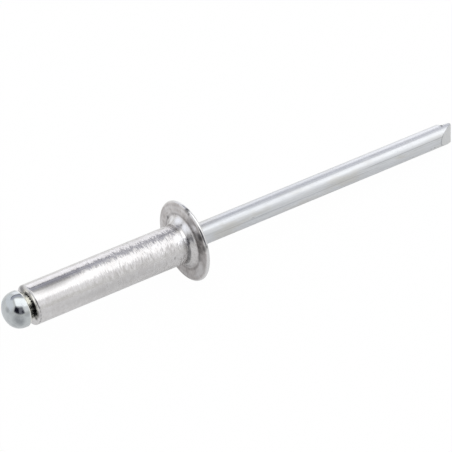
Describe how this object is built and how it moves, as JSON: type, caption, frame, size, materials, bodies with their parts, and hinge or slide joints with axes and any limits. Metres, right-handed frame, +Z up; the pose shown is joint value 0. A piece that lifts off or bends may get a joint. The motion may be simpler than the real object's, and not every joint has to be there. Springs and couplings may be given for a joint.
{
  "type": "blind rivet",
  "caption": "Open-end domed blind rivet, unset: a flanged aluminium tube crimped on a headed steel pulling mandrel with a chisel-cut tip.",
  "frame": {"origin": "centre of the flange's seat face, on the rivet's axis", "axes": "+X level and in line with the rivet, from the blind end towards the mandrel's tip; +Z up from the surface that the rivet lies on"},
  "size_m": [0.0524, 0.0082, 0.0082],
  "materials": {
    "rivet_body": "satin, cold formed, lightly scuffed",
    "mandrel": "bright zinc plated"
  },
  "bodies": {
    "root": {"rivet_body": "rivet_body", "mandrel": "mandrel"}
  },
  "joints": []
}
